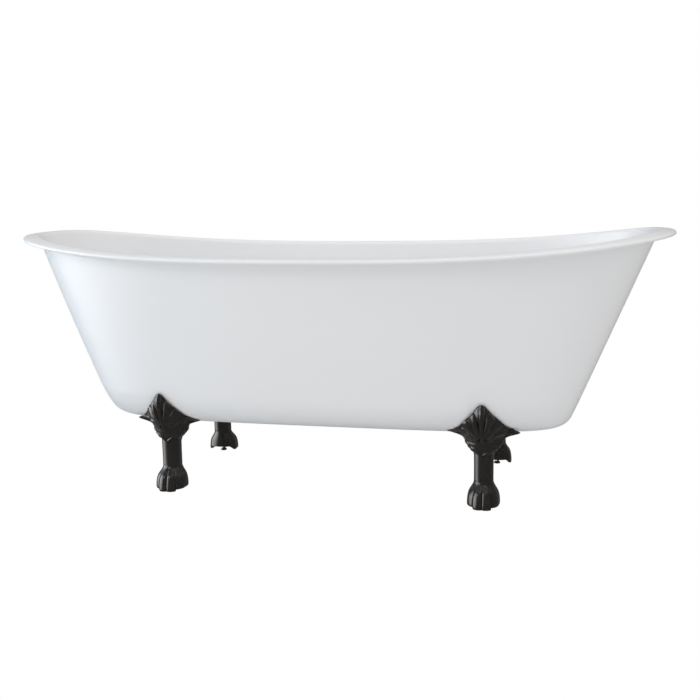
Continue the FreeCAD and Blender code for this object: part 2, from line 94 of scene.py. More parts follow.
class WallLine:
    """A wall in section: straight and leaning above, rounded into the floor below."""

    def __init__(self, lean, corner, top_reach, top_drop, inset):
        self.lean = math.radians(lean)
        self.corner = corner - inset
        self.floor = UNDERSIDE_HEIGHT + inset
        self.top_reach, self.top_drop = top_reach, top_drop

    def bend_height(self):
        return self.floor + self.corner * (1 - math.sin(self.lean))

    def reach(self, z, crest):
        bend = self.bend_height()
        slope = math.tan(self.lean)
        if z >= bend:
            return self.top_reach - (crest - self.top_drop - z) * slope
        centre = (self.top_reach - (crest - self.top_drop - bend) * slope
                  - self.corner * math.cos(self.lean))
        below = self.floor + self.corner - z
        return centre + math.sqrt(max(self.corner ** 2 - below ** 2, 0.0))


def flare_start_drop(lean):
    return LIP_DROP + FLARE_RADIUS * (1 - math.sin(math.radians(lean)))


def roll_end(lean, overhang):
    """Inset from the tip and drop from the crest where the roll meets the inner wall."""
    a = math.radians(lean)
    drop = ROLL_RADIUS * (1 - math.sin(a))
    inset = overhang - (flare_start_drop(lean) - drop) * math.tan(a) + WALL / math.cos(a)
    return inset, drop


HALF_LENGTH, HALF_WIDTH = TUB_LENGTH / 2, TUB_WIDTH / 2
END_CREST = crest_height(1)
END_ROLL, SIDE_ROLL = roll_end(END_LEAN, END_OVERHANG), roll_end(SIDE_LEAN, SIDE_OVERHANG)
# each wall as its line at the ends and its line at the sides
OUTER = (
    WallLine(END_LEAN, END_CORNER, HALF_LENGTH - END_OVERHANG, flare_start_drop(END_LEAN), 0.0),
    WallLine(SIDE_LEAN, SIDE_CORNER, HALF_WIDTH - SIDE_OVERHANG, flare_start_drop(SIDE_LEAN), 0.0),
)
INNER = (
    WallLine(END_LEAN, END_CORNER, HALF_LENGTH - END_ROLL[0], END_ROLL[1], WALL),
    WallLine(SIDE_LEAN, SIDE_CORNER, HALF_WIDTH - SIDE_ROLL[0], SIDE_ROLL[1], WALL),
)


def plan_power(z):
    """The tub's outline is squarer at the base than at the rim."""
    bend = OUTER[1].bend_height()
    share = max((z - bend) / (MID_RIM_HEIGHT - bend), 0.0)
    return BASE_PLAN_POWER + share * (RIM_PLAN_POWER - BASE_PLAN_POWER)


def level_ring(lines, z):
    end, side = lines
    return ring(end.reach(z, END_CREST), side.reach(z, MID_RIM_HEIGHT), plan_power(z),
                lambda along: z)


def corner_rows(lines):
    side = lines[1]
    last = math.pi / 2 - side.lean
    turns = (last * i / CORNER_ROWS for i in range(CORNER_ROWS + 1))
    return [level_ring(lines, side.floor + side.corner * (1 - math.cos(turn))) for turn in turns]


def wall_rows(lines, count):
    end, side = lines
    start = side.bend_height()
    half_length, half_width = end.reach(start, END_CREST), side.reach(start, MID_RIM_HEIGHT)
    rows = []
    for i in range(1, count + 1):
        share = i / count

        def height(along):
            drop = side.top_drop + (end.top_drop - side.top_drop) * abs(along)
            return start + share * (crest_height(along) - drop - start)

        rows.append(ring(half_length + share * (end.top_reach - half_length),
                         half_width + share * (side.top_reach - half_width),
                         plan_power(height(0)), height))
    return rows


def rim_outline(lean, overhang):
    """Inset from the tip and drop from the crest, from the flare round to the roll."""
    a = math.radians(lean)
    outline = []
    flare_inset = overhang - FLARE_RADIUS * math.cos(a)
    for i in range(1, FLARE_ROWS + 1):
        turn = a + (math.pi / 2 - a) * i / FLARE_ROWS
        outline.append((flare_inset + FLARE_RADIUS * math.cos(turn),
                        LIP_DROP + FLARE_RADIUS * (1 - math.sin(turn))))
    for i in range(LIP_ROWS + 1):
        turn = -math.pi / 2 + math.pi * i / LIP_ROWS
        outline.append((LIP_EDGE_RADIUS * (1 - math.cos(turn)),
                        LIP_DROP - (LIP_DROP - LIP_FALL) * (1 + math.sin(turn)) / 2))
    crest_inset = roll_end(lean, overhang)[0] - ROLL_RADIUS * math.cos(a)
    for share in LIP_TOP_SHARES:
        outline.append((LIP_EDGE_RADIUS + share * (crest_inset - LIP_EDGE_RADIUS),
                        LIP_FALL * (1 - share) ** LIP_FALL_POWER))
    for i in range(ROLL_ROWS + 1):
        turn = math.pi / 2 + (a - math.pi / 2) * i / ROLL_ROWS
        outline.append((crest_inset + ROLL_RADIUS * math.cos(turn),
                        ROLL_RADIUS * (1 - math.sin(turn))))
    return outline


def rim_rows():
    rows = []
    outlines = rim_outline(END_LEAN, END_OVERHANG), rim_outline(SIDE_LEAN, SIDE_OVERHANG)
    for end, side in zip(*outlines):

        def height(along):
            return crest_height(along) - side[1] - (end[1] - side[1]) * abs(along)

        rows.append(ring(HALF_LENGTH - end[0], HALF_WIDTH - side[0], plan_power(height(0)), height))
    return rows


def circle_row(radius, z):
    angles = (2 * math.pi * i / COLUMNS for i in range(COLUMNS))
    return [Vector((radius * math.cos(a), radius * math.sin(a), z)) for a in angles]


def floor_rows(edge_row, radius):
    """Rows from the edge of a flat floor in to the round waste hole."""
    hole_row = circle_row(radius, edge_row[0].z)
    return [[edge.lerp(hole, k / FLOOR_ROWS) for edge, hole in zip(edge_row, hole_row)]
            for k in range(1, FLOOR_ROWS + 1)]


def waste_rows():
    """The wall of the waste hole, from the basin's floor down to the underside."""
    low, high = UNDERSIDE_HEIGHT, UNDERSIDE_HEIGHT + WALL
    top, bottom = ROUND_MIDDLE * FLOOR_EDGE_ROUND, ROUND_MIDDLE * EDGE_ROUND
    return [circle_row(WASTE_RADIUS + top, high - top),
            circle_row(WASTE_RADIUS, high - FLOOR_EDGE_ROUND),
            circle_row(WASTE_RADIUS, low + EDGE_ROUND),
            circle_row(WASTE_RADIUS + bottom, low + bottom)]


def open_overflow(rows, first, last, centre, across, up):
    """Moves the wall's rows back round the overflow hole; gives the hole's middle row."""
    middle = min(range(first, last), key=lambda r: abs(rows[r][HOLE_COLUMN].z - centre.z))
    start = OVERFLOW_RADIUS + HOLE_SHADE_BAND
    for r in range(middle - 2 * HOLE_ROWS, middle + 2 * HOLE_ROWS + 1):
        for c in range(HOLE_COLUMN - 2 * HOLE_COLUMNS, HOLE_COLUMN + 2 * HOLE_COLUMNS + 1):
            m = max(abs(c - HOLE_COLUMN) / HOLE_COLUMNS, abs(r - middle) / HOLE_ROWS)
            if m < 1 - 1e-6 or m > PUSH_REACH or not first <= r < last:
                continue
            offset = rows[r][c] - centre
            u, v = offset.dot(across), offset.dot(up)
            flat = math.hypot(u, v)
            edge = flat * PUSH_REACH / m
            new = start + (edge - start) * (m - 1) / (PUSH_REACH - 1)
            rows[r][c] = rows[r][c] + (across * u + up * v) * (new / flat - 1)
    return middle


def stitch(bm, rings, material_index=0, left_out=lambda row, column: False):
    """Faces between closed rings of vertices that follow each other."""
    for r, (a_ring, b_ring) in enumerate(zip(rings, rings[1:])):
        for i in range(len(a_ring)):
            if left_out(r, i):
                continue
            n = (i + 1) % len(a_ring)
            face = bm.faces.new((a_ring[i], a_ring[n], b_ring[n], b_ring[i]))
            face.material_index = material_index


def hole_loop(grid, middle, flip):
    """The patch's outline in order; flip where the rows run downwards."""
    h, w = HOLE_ROWS, HOLE_COLUMNS
    places = [(-h, c) for c in range(-w, w)] + [(r, w) for r in range(-h, h)]
    places += [(h, c) for c in range(w, -w, -1)] + [(r, -w) for r in range(h, -h, -1)]
    return [grid[middle + (-r if flip else r)][HOLE_COLUMN + c] for r, c in places]


def hole_band(bm, loop, centre, normal, wider, depth):
    """A ring of the overflow hole's wall, one vertex for each of the loop."""
    band = []
    for vert in loop:
        offset = vert.co / MM - centre
        flat = (offset - normal * offset.dot(normal)).normalized()
        place = centre + flat * (OVERFLOW_RADIUS + wider) + normal * depth
        band.append(bm.verts.new(place * MM))
    return band


def add_block(bm, low, high, radius):
    """A block with rounded edges, given in millimetres."""
    size = [h - l for l, h in zip(low, high)]
    middle = [(h + l) / 2 for l, h in zip(low, high)]
    place = Matrix.Translation(Vector(middle) * MM) @ Matrix.Diagonal(Vector(size) * MM).to_4x4()
    made = bmesh.ops.create_cube(bm, size=1.0, matrix=place)
    edges = list({e for v in made["verts"] for e in v.link_edges})
    bmesh.ops.bevel(bm, geom=edges, offset=radius * MM, offset_type="OFFSET", segments=4,
                    profile=0.5, affect="EDGES", clamp_overlap=True, material=-1)


def add_lugs(bm):
    for sx in (-1, 1):
        for sy in (-1, 1):
            x, y = sx * FOOT_X, sy * (FOOT_Y - LUG_INSET)
            add_block(bm, (x - LUG_HALF_LENGTH, y - LUG_HALF_WIDTH, LUG_BOTTOM),
                      (x + LUG_HALF_LENGTH, y + LUG_HALF_WIDTH, LUG_TOP), LUG_EDGE_RADIUS)


def build_tub(bm):
    outer_corner, inner_corner = corner_rows(OUTER), corner_rows(INNER)
    outer_wall, inner_wall = wall_rows(OUTER, OUTER_WALL_ROWS), wall_rows(INNER, INNER_WALL_ROWS)
    rim = rim_rows()
    under = floor_rows(outer_corner[0], WASTE_RADIUS + EDGE_ROUND)[::-1]
    floor = floor_rows(inner_corner[0], WASTE_RADIUS + FLOOR_EDGE_ROUND)
    rows = (under + outer_corner + outer_wall + rim
            + inner_wall[:-1][::-1] + inner_corner[::-1] + floor)
    first_outer = len(under) + len(outer_corner)
    last_outer = first_outer + len(outer_wall)
    first_inner = last_outer + len(rim)
    last_inner = first_inner + len(inner_wall) - 1

    # the overflow hole, square to the far wall
    a = math.radians(SIDE_LEAN)
    normal = Vector((0, math.cos(a), -math.sin(a)))
    up = Vector((0, math.sin(a), math.cos(a)))
    across = Vector((1, 0, 0))
    outer_reach = OUTER[1].reach(OVERFLOW_HEIGHT, MID_RIM_HEIGHT)
    outer_centre = Vector((0, outer_reach, OVERFLOW_HEIGHT))
    inner_centre = outer_centre - normal * WALL
    outer_middle = open_overflow(rows, first_outer, last_outer, outer_centre, across, up)
    inner_middle = open_overflow(rows, first_inner, last_inner, inner_centre, across, up)

    def in_hole(r, c):
        near_row = any(middle - HOLE_ROWS <= r < middle + HOLE_ROWS
                       for middle in (outer_middle, inner_middle))
        return near_row and HOLE_COLUMN - HOLE_COLUMNS <= c < HOLE_COLUMN + HOLE_COLUMNS

    grid = [[bm.verts.new(p * MM) for p in row] for row in rows + waste_rows()]
    stitch(bm, grid + grid[:1], left_out=in_hole)
    outer_loop = hole_loop(grid, outer_middle, False)
    inner_loop = hole_loop(grid, inner_middle, True)
    mid = ROUND_MIDDLE * EDGE_ROUND
    # the band round the overflow hole and its bore take the dark material, painted shade of the
    # hole's inside
    stitch(bm, [outer_loop,
                hole_band(bm, outer_loop, outer_centre, normal, mid, -mid),
                hole_band(bm, outer_loop, outer_centre, normal, 0.0, -EDGE_ROUND),
                hole_band(bm, inner_loop, inner_centre, normal, 0.0, EDGE_ROUND),
                hole_band(bm, inner_loop, inner_centre, normal, mid, mid),
                inner_loop], material_index=HOLE_SHADE_INDEX)
    loose = [v for v in bm.verts if not v.link_faces]
    bmesh.ops.delete(bm, geom=loose, context="VERTS")
    add_lugs(bm)


def make_object(name, mesh_builder, smooth_angle=None):
    """A smooth-shaded object; edges bent by more than smooth_angle stay sharp."""
    bm = bmesh.new()
    mesh_builder(bm)
    bmesh.ops.recalc_face_normals(bm, faces=bm.faces)
    for face in bm.faces:
        face.smooth = True
    if smooth_angle is not None:
        for edge in bm.edges:
            if len(edge.link_faces) == 2 and edge.calc_face_angle(0.0) > math.radians(smooth_angle):
                edge.smooth = False
    mesh = bpy.data.meshes.new(name)
    bm.to_mesh(mesh)
    bm.free()
    obj = bpy.data.objects.new(name, mesh)
    bpy.context.scene.collection.objects.link(obj)
    return obj


# ---- feet, each about its own axis; +x is away from the middle of the tub, -y out from it.
# Every table goes down by height; the first three give half widths, the others reaches out.
WING_HEIGHT = 187                        # of the tips of the knee's wings
UPPER_EDGE = ((265, 2.5), (263, 7), (258, 11.5), (252, 16), (244, 22), (235, 30), (227, 37.5),
              (220, 43.5), (212, 50.5), (204, 57), (198, 65), (194, 72), (191, 78), (189, 83),
              (187, 88))
LOWER_EDGE = ((187, 88), (184, 86), (181, 79), (178, 69), (174, 57.5), (170, 50.5), (167, 50),
              (163, 47), (159, 47), (155, 45.5), (151, 41), (147, 40), (143, 35), (139, 32.5),
              (136, 28), (132, 25.5), (126, 24.5))
BULGE = ((265, 2.5), (258, 10), (252, 14), (244, 20), (235, 28), (220, 39), (203, 50), (187, 58),
         (178, 54), (168, 51))
RIDGE = ((265, 63), (261, 69), (254, 74), (245, 77), (236, 75), (221, 70), (203, 63), (187, 55),
         (180, 50), (170, 43), (160, 38), (149, 33), (140, 28), (130, 23.5), (126, 22.5))
EDGE_BELOW = ((187, 5), (180, 2), (170, 0), (160, -1), (149, -2), (126, -3))

# the knee's edge beside the tub's wall
TUB_GAP, TUB_GAP_RAMP = 5.5, 8.0         # clear of the wall, reached this far above the wings
LEAST_TUB_GAP, GAP_FROM = 4.5, 180.0     # never nearer than this, from this height up
# the knee's section: a bulge between thin wings above, a plain arch below
SWELL_SHARE, SWELL_POWER = 0.72, 1.15
ARCH_BELOW, ARCH_BLEND = 172.0, 30.0
LEAST_RIDGE = 4.0

# lobes of the leaf as start and end (x, z), half widths and heights at both;
# the first five are the leaf, the others the collar under it
LOBES = (
    ((0, 184), (0, 257), (6, 8.5), (7.5, 4.5)),
    ((7, 184), (24, 237), (7, 10.5), (7.5, 6.0)),
    ((11, 178), (41, 214), (7, 11.5), (7.5, 6.0)),
    ((15, 172), (50, 192), (7, 10.5), (7.0, 5.0)),
    ((0, 182), (0, 166), (5, 4.0), (7.0, 5.0)),
    ((55, 172), (50, 168), (6, 6.0), (3.5, 3.5)),
    ((47, 158), (43, 155), (6, 6.0), (4.0, 3.5)),
    ((40, 147), (35, 144), (5.5, 5.5), (4.0, 3.5)),
    ((31, 140), (26, 138), (5, 5.0), (4.0, 3.5)),
    ((29, 147), (2, 130), (4.5, 4.5), (3.0, 3.5)),
)
LOBE_POWER = 0.85
# hollows between the lobes: middle, half sizes, depth; they leave what is raised alone
HOLLOWS = (((11, 205), (6, 22), 4.5), ((24, 199), (8, 14), 4.0))
RAISED = 0.5

KNEE_WALL = 4.5
# heights from and to, with the number of rows between them
KNEE_BANDS = ((126, 178, 44), (178, 187, 12), (187, 196, 10), (196, 265, 52))
HALF_STEPS = 44                          # from the knee's ridge to its edge
EDGE_FADE, EDGE_RELIEF = 8, 0.35         # relief falls to this share over the last eighth
LINING_INSET, LEAST_LINING = 4.0, 0.35   # narrower than the skin, down to this share of it
# the side walls reach back to here behind the edge, and less far from BACK_FROM upwards
BACK_REACH, BACK_FALL, BACK_FROM, BACK_POWER = 14.0, 19.0, 160.0, 1.3
SIDE_STEPS, SIDE_TAPER = 3, 0.01
LEAST_ROOM, WALL_SHARE = 3.0, 0.6        # least depth of a side wall, its thickest share of it


def table(rows, z):
    if z >= rows[0][0]:
        return rows[0][1]
    for (z1, v1), (z0, v0) in zip(rows, rows[1:]):
        if z >= z0:
            return v0 + (v1 - v0) * (z - z0) / (z1 - z0)
    return rows[-1][1]


def knee_half_width(z):
    return table(UPPER_EDGE if z >= WING_HEIGHT else LOWER_EDGE, z)


def tub_side(x, z):
    """How far the tub's side is out from the foot's axis."""
    reach = OUTER[1].reach(z, MID_RIM_HEIGHT)
    length = OUTER[0].reach(z, END_CREST)
    power = plan_power(z)
    return reach * (1 - (abs(FOOT_X + x) / length) ** power) ** (1 / power) - FOOT_Y


def knee_base(x, z):
    """The knee's reach out from the foot's axis, without its relief."""
    half = knee_half_width(z)
    s = min(abs(x) / half, 1.0)
    edge = table(EDGE_BELOW, z)
    if z > WING_HEIGHT:
        lift = min((z - WING_HEIGHT) / TUB_GAP_RAMP, 1.0)
        edge += (tub_side(x, z) + TUB_GAP - edge) * lift
    if z > GAP_FROM:
        edge = max(edge, tub_side(x, z) + LEAST_TUB_GAP)
    arch = max(0.0, min(1.0, (ARCH_BELOW - z) / ARCH_BLEND))
    swell = max(0.0, 1 - (x / min(table(BULGE, z), half)) ** 2) ** SWELL_POWER
    winged = SWELL_SHARE * swell + (1 - SWELL_SHARE) * (1 - s)
    rise = arch * math.sqrt(1 - s * s) + (1 - arch) * winged
    return edge + max(table(RIDGE, z) - edge, LEAST_RIDGE) * rise


def leaf(x, z):
    """Relief of the leaf and collar over the knee."""
    x = abs(x)
    height = 0.0
    for (ax, az), (bx, bz), (wa, wb), (ha, hb) in LOBES:
        dx, dz = bx - ax, bz - az
        t = ((x - ax) * dx + (z - az) * dz) / (dx * dx + dz * dz)
        t = max(0.0, min(1.0, t))
        d = math.hypot(x - ax - t * dx, z - az - t * dz) / (wa + (wb - wa) * t)
        if d < 1:
            height = max(height, (ha + (hb - ha) * t) * (1 - d * d) ** LOBE_POWER)
    for (cx, cz), (rx, rz), deep in HOLLOWS:
        d = math.hypot((x - cx) / rx, (z - cz) / rz)
        if d < 1 and height < RAISED:
            height -= deep * (1 - d * d) ** 2
    return height


def knee_heights():
    heights = []
    for low, high, steps in KNEE_BANDS:
        heights += [low + (high - low) * i / steps for i in range(steps)]
    return heights + [KNEE_BANDS[-1][1]]


def knee_side(edge, z, shrink):
    """Skin and lining of the wall behind one edge, and how thick the wall is there."""
    if z >= WING_HEIGHT:
        lining = Vector((edge.x * shrink, edge.y + KNEE_WALL, z))
        return [edge] * SIDE_STEPS, [lining] * SIDE_STEPS, KNEE_WALL
    share = max(0.0, (z - BACK_FROM) / (WING_HEIGHT - BACK_FROM))
    back = BACK_REACH - BACK_FALL * share ** BACK_POWER
    room = max(back - edge.y, LEAST_ROOM)
    thick = min(KNEE_WALL, WALL_SHARE * room)
    skin, lining = [], []
    for k in range(1, SIDE_STEPS + 1):
        skin_y = edge.y + room * k / SIDE_STEPS
        lining_y = edge.y + thick + (room - thick) * k / SIDE_STEPS
        skin.append(Vector((edge.x * (1 - SIDE_TAPER * k), skin_y, z)))
        lining.append(Vector((edge.x * shrink, lining_y, z)))
    return skin, lining, thick


def knee_row(z):
    """The knee's skin and its lining at one height, from back to back."""
    half = knee_half_width(z)
    shrink = max((half - LINING_INSET) / half, LEAST_LINING)
    front, fades = [], []
    for i in range(-HALF_STEPS, HALF_STEPS + 1):
        x = half * i / HALF_STEPS
        fade = min((1 - abs(i) / HALF_STEPS) * EDGE_FADE, 1.0)
        relief = leaf(x, z) * (EDGE_RELIEF + (1 - EDGE_RELIEF) * fade)
        front.append(Vector((x, -(knee_base(x, z) + relief), z)))
        fades.append(fade)
    left = knee_side(front[0], z, shrink)
    right = knee_side(front[-1], z, shrink)
    lining = []
    for i, (p, fade) in enumerate(zip(front, fades)):
        thick = left[2] if i < HALF_STEPS else right[2]
        lining.append(Vector((p.x * shrink, p.y + thick + (KNEE_WALL - thick) * fade, z)))
    return left[0][::-1] + front + right[0], left[1][::-1] + lining + right[1]


def add_knee(bm):
    cache = {}

    def vert(side, p):
        key = (side, round(p.x, 3), round(p.y, 3), round(p.z, 3))
        if key not in cache:
            cache[key] = bm.verts.new(p * MM)
        return cache[key]

    def face(*corners):
        unique = []
        for v in corners:
            if v not in unique:
                unique.append(v)
        if len(unique) > 2 and bm.faces.get(unique) is None:
            bm.faces.new(unique)

    grids = ([], [])
    for z in knee_heights():
        for side, row in enumerate(knee_row(z)):
            grids[side].append([vert(side, p) for p in row])
    for grid in grids:
        for a_row, b_row in zip(grid, grid[1:]):
            for i in range(len(a_row) - 1):
                face(a_row[i], a_row[i + 1], b_row[i + 1], b_row[i])
    skin, lining = grids
    for end in (0, -1):
        for i in range(len(skin[0]) - 1):
            face(skin[end][i], skin[end][i + 1], lining[end][i + 1], lining[end][i])
        for r in range(len(skin) - 1):
            face(skin[r][end], skin[r + 1][end], lining[r + 1][end], lining[r][end])


# height, half width, reach out and reach back of leg and paw
LEG = ((150, 22, 20, 26), (140, 24, 21.5, 28), (128, 24, 22, 28), (100, 23.7, 21.7, 28),
       (68, 23.7, 21.7, 28), (61, 24.0, 22.5, 28.1), (57, 25, 24.5, 28.4), (52, 27.3, 28.5, 29),
       (47, 30.2, 33, 29.7), (42, 33.6, 37.5, 30.4), (36, 36.6, 41.5, 31), (30, 38.4, 44, 31.5),
       (22, 39.7, 46.5, 32), (12, 40.4, 48, 32), (0, 40.2, 48, 31.5))
PAW_TOP, LEG_POWER, PAW_POWER = 62, 2.5, 2.2
# the toes, between grooves given in degrees from straight out
GROOVES = (-70.5, -30.0, 0.0, 30.0, 70.5)
TOES_FROM, TOES_GROW = 55.0, 14.0        # they rise from the paw over this height
TOE_SWELL, OUTER_TOE_SHARE, TOE_POWER, GROOVE_DEPTH = 4.2, 0.55, 0.6, 0.25
# the sole: flat under the inner toes, higher under the outer ones and the heel
INNER_TOES, OUTER_TOES, HEEL_RAMP = 30, 100, 30
OUTER_TOE_LIFT, HEEL_LIFT = 4.5, 17.0

LEG_COLUMNS = 240
LEG_HEIGHTS = [150, 140, 128, 114, 100, 86, 74, 68, 64] + [PAW_TOP - 1.5 * i for i in range(31)]
# from the last of these heights down to the sole: share of the way left, inset
SOLE_ROWS = ((0.8, 0.0), (0.55, 0.0), (0.3, 0.1), (0.1, 0.5), (0.0, 1.6))
SOLE_SECTION, SOLE_RIM = 14, ((7.0, 0.0), (8.5, 1.2))  # inset, height over the sole
HOLLOW_SECTION = 30
PAW_HOLLOW = ((9, 38, 36.0), (13, 34, 40.0))           # inset, widest reach, height
SCREW_BORE_RADIUS, SCREW_BORE = 4.3, (40.0, 80.0)

SHELF_HALF_WIDTH, SHELF_BOTTOM, SHELF_TOP, HALF_SHELF_STEPS = 43.5, 152.0, 160.0, 10
# the shelf's front follows the knee's section at one height, from a little inside it
SHELF_SECTION, SHELF_STRETCH, SHELF_INSET = 156, 47 / 45.5, 3.0
TONGUE = ((43.5, 13), (22, 22), (22, 44), (17, 49))    # its right half, from the shelf back


def leg_section(z):
    if z >= LEG[0][0]:
        return LEG[0][1:]
    for high, low in zip(LEG, LEG[1:]):
        if z >= low[0]:
            t = (z - low[0]) / (high[0] - low[0])
            return [l + (h - l) * t for h, l in zip(high[1:], low[1:])]
    return LEG[-1][1:]


def degrees_from_front(angle):
    return (math.degrees(angle) + 180) % 360 - 180


def leg_reach(angle, z):
    """Distance from the foot's axis to its skin; angle 0 is straight out from the tub."""
    s, c = math.sin(angle), math.cos(angle)
    half, front, back = leg_section(z)
    depth = front if c > 0 else back
    power = LEG_POWER if z > PAW_TOP else PAW_POWER
    reach = ((abs(s) / half) ** power + (abs(c) / depth) ** power) ** (-1 / power)
    turn = degrees_from_front(angle)
    grown = max(0.0, min(1.0, (TOES_FROM - z) / TOES_GROW))
    for a, b in zip(GROOVES, GROOVES[1:]):
        if a <= turn <= b:
            t = (2 * turn - a - b) / (b - a)
            share = OUTER_TOE_SHARE if abs(a + b) / 2 > INNER_TOES else 1.0
            round_toe = max(0.0, 1 - t * t) ** TOE_POWER - GROOVE_DEPTH
            reach += TOE_SWELL * share * grown * round_toe
    return reach


def sole_height(angle):
    turn = abs(degrees_from_front(angle))
    if turn < INNER_TOES:
        return 0.0
    if turn < OUTER_TOES:
        return OUTER_TOE_LIFT
    return OUTER_TOE_LIFT + (HEEL_LIFT - OUTER_TOE_LIFT) * min((turn - OUTER_TOES) / HEEL_RAMP, 1.0)


def add_leg(bm):
    """The leg and paw, with the paw's hollow and the levelling screw's bore."""
    angles = [2 * math.pi * i / LEG_COLUMNS for i in range(LEG_COLUMNS)]

    def place(angle, reach, z):
        return Vector((reach * math.sin(angle), -reach * math.cos(angle), z))

    rows = [[place(a, leg_reach(a, z), z) for a in angles] for z in LEG_HEIGHTS]
    for share, inset in SOLE_ROWS:
        row = []
        for a in angles:
            sole = sole_height(a)
            z = sole + share * (LEG_HEIGHTS[-1] - sole)
            row.append(place(a, leg_reach(a, z) - inset, z))
        rows.append(row)
    for inset, lift in SOLE_RIM:
        rows.append([place(a, leg_reach(a, SOLE_SECTION) - inset, sole_height(a) + lift)
                     for a in angles])
    for inset, widest, z in PAW_HOLLOW:
        rows.append([place(a, min(leg_reach(a, HOLLOW_SECTION) - inset, widest), z)
                     for a in angles])
    for z in SCREW_BORE:
        rows.append([place(a, SCREW_BORE_RADIUS, z) for a in angles])
    grid = [[bm.verts.new(p * MM) for p in row] for row in rows]
    stitch(bm, grid)
    bm.faces.new(grid[0])
    bm.faces.new(grid[-1][::-1])


def add_shelf(bm):
    """The level shelf inside the knee with its tongue under the tub's lug."""
    outline = []
    for i in range(-HALF_SHELF_STEPS, HALF_SHELF_STEPS + 1):
        x = SHELF_HALF_WIDTH * i / HALF_SHELF_STEPS
        outline.append((x, -(knee_base(x * SHELF_STRETCH, SHELF_SECTION) - SHELF_INSET)))
    outline += TONGUE
    outline += [(-x, y) for x, y in reversed(TONGUE)]
    bottom = bm.faces.new([bm.verts.new(Vector((x, y, SHELF_BOTTOM)) * MM) for x, y in outline])
    made = bmesh.ops.extrude_face_region(bm, geom=[bottom], use_keep_orig=True)
    top = [item for item in made["geom"] if isinstance(item, bmesh.types.BMVert)]
    bmesh.ops.translate(bm, verts=top, vec=(0, 0, (SHELF_TOP - SHELF_BOTTOM) * MM))


def build_foot(bm):
    add_knee(bm)
    add_leg(bm)
    add_shelf(bm)


def add_foot(corner, sx, sy, source):
    """A copy of the foot mesh in its place; sx and sy are the signs of its corner."""
    mesh = source.data.copy()
    flip = Matrix.Diagonal((sx, -sy, 1, 1))
    move = Matrix.Translation((sx * FOOT_X * MM, sy * FOOT_Y * MM, 0))
    mesh.transform(move @ flip)
    if sx * -sy < 0:
        mesh.flip_normals()
    obj = bpy.data.objects.new("foot_" + corner, mesh)
    bpy.context.scene.collection.objects.link(obj)
    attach(obj, "tub")
    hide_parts("claw_foot_" + corner)


# ---- materials
def empty_tree(owner):
    owner.use_nodes = True
    owner.node_tree.nodes.clear()
    return owner.node_tree


def add_node(tree, kind, inputs=None):
    made = tree.nodes.new(kind)
    for name, value in (inputs or {}).items():
        made.inputs[name].default_value = value
    return made


def mix_colours(tree, factor, first, second):
    """The output of a mix of two plain colours."""
    mix = tree.nodes.new("ShaderNodeMix")
    mix.data_type = "RGBA"
    sockets = [socket for socket in mix.inputs if socket.type == "RGBA"]
    sockets[0].default_value, sockets[1].default_value = first, second
    tree.links.new(factor, mix.inputs["Factor"])
    return next(socket for socket in mix.outputs if socket.type == "RGBA")


def mix_shaders(tree, factor, first, second):
    mix = tree.nodes.new("ShaderNodeMixShader")
    for i, socket in enumerate((factor, first, second)):
        tree.links.new(socket, mix.inputs[i])
    return mix.outputs["Shader"]


def grain_group():
    """Two noises from 0 to 1 in object space: a fine grain and soft patches."""
    group = bpy.data.node_groups.new("soft_grain", "ShaderNodeTree")
    for name, in_out in (("Fine Scale", "INPUT"), ("Patch Scale", "INPUT"),
                         ("Grain", "OUTPUT"), ("Patches", "OUTPUT")):
        group.interface.new_socket(name, in_out=in_out, socket_type="NodeSocketFloat")
    start, end = group.nodes.new("NodeGroupInput"), group.nodes.new("NodeGroupOutput")
    coords = group.nodes.new("ShaderNodeTexCoord")
    for scale, result, detail in (("Fine Scale", "Grain", 3.0), ("Patch Scale", "Patches", 2.0)):
        noise = add_node(group, "ShaderNodeTexNoise", {"Detail": detail})
        group.links.new(coords.outputs["Object"], noise.inputs["Vector"])
        group.links.new(start.outputs[scale], noise.inputs["Scale"])
        group.links.new(noise.outputs["Fac"], end.inputs[result])
    return group


GRAIN = grain_group()
COAT_ROUGHNESS, ROUGHNESS_VARY = 0.15, 0.15


def material(name, colour, roughness, metallic=0.0, coat=0.0, specular=0.5, fine=900.0, patch=6.0,
             vary=0.03, bump=0.1, bump_distance=0.0004):
    """A finish whose colour, roughness and surface vary a little over the piece."""
    mat = bpy.data.materials.new(name)
    tree = empty_tree(mat)
    out = tree.nodes.new("ShaderNodeOutputMaterial")
    shader = add_node(tree, "ShaderNodeBsdfPrincipled", {
        "Metallic": metallic, "Specular IOR Level": specular,
        "Coat Weight": coat, "Coat Roughness": COAT_ROUGHNESS})
    grain = tree.nodes.new("ShaderNodeGroup")
    grain.node_tree = GRAIN
    grain.inputs["Fine Scale"].default_value = fine
    grain.inputs["Patch Scale"].default_value = patch
    dark = [c * (1 - vary) for c in colour] + [1]
    light = [min(c * (1 + vary), 1.0) for c in colour] + [1]
    rough = add_node(tree, "ShaderNodeMapRange", {"To Min": roughness * (1 - ROUGHNESS_VARY),
                                                  "To Max": roughness * (1 + ROUGHNESS_VARY)})
    bumps = add_node(tree, "ShaderNodeBump", {"Strength": bump, "Distance": bump_distance})
    patches = grain.outputs["Patches"]
    tree.links.new(mix_colours(tree, patches, dark, light), shader.inputs["Base Color"])
    tree.links.new(patches, rough.inputs["Value"])
    tree.links.new(rough.outputs["Result"], shader.inputs["Roughness"])
    tree.links.new(grain.outputs["Grain"], bumps.inputs["Height"])
    tree.links.new(bumps.outputs["Normal"], shader.inputs["Normal"])
    tree.links.new(shader.outputs["BSDF"], out.inputs["Surface"])
    return mat


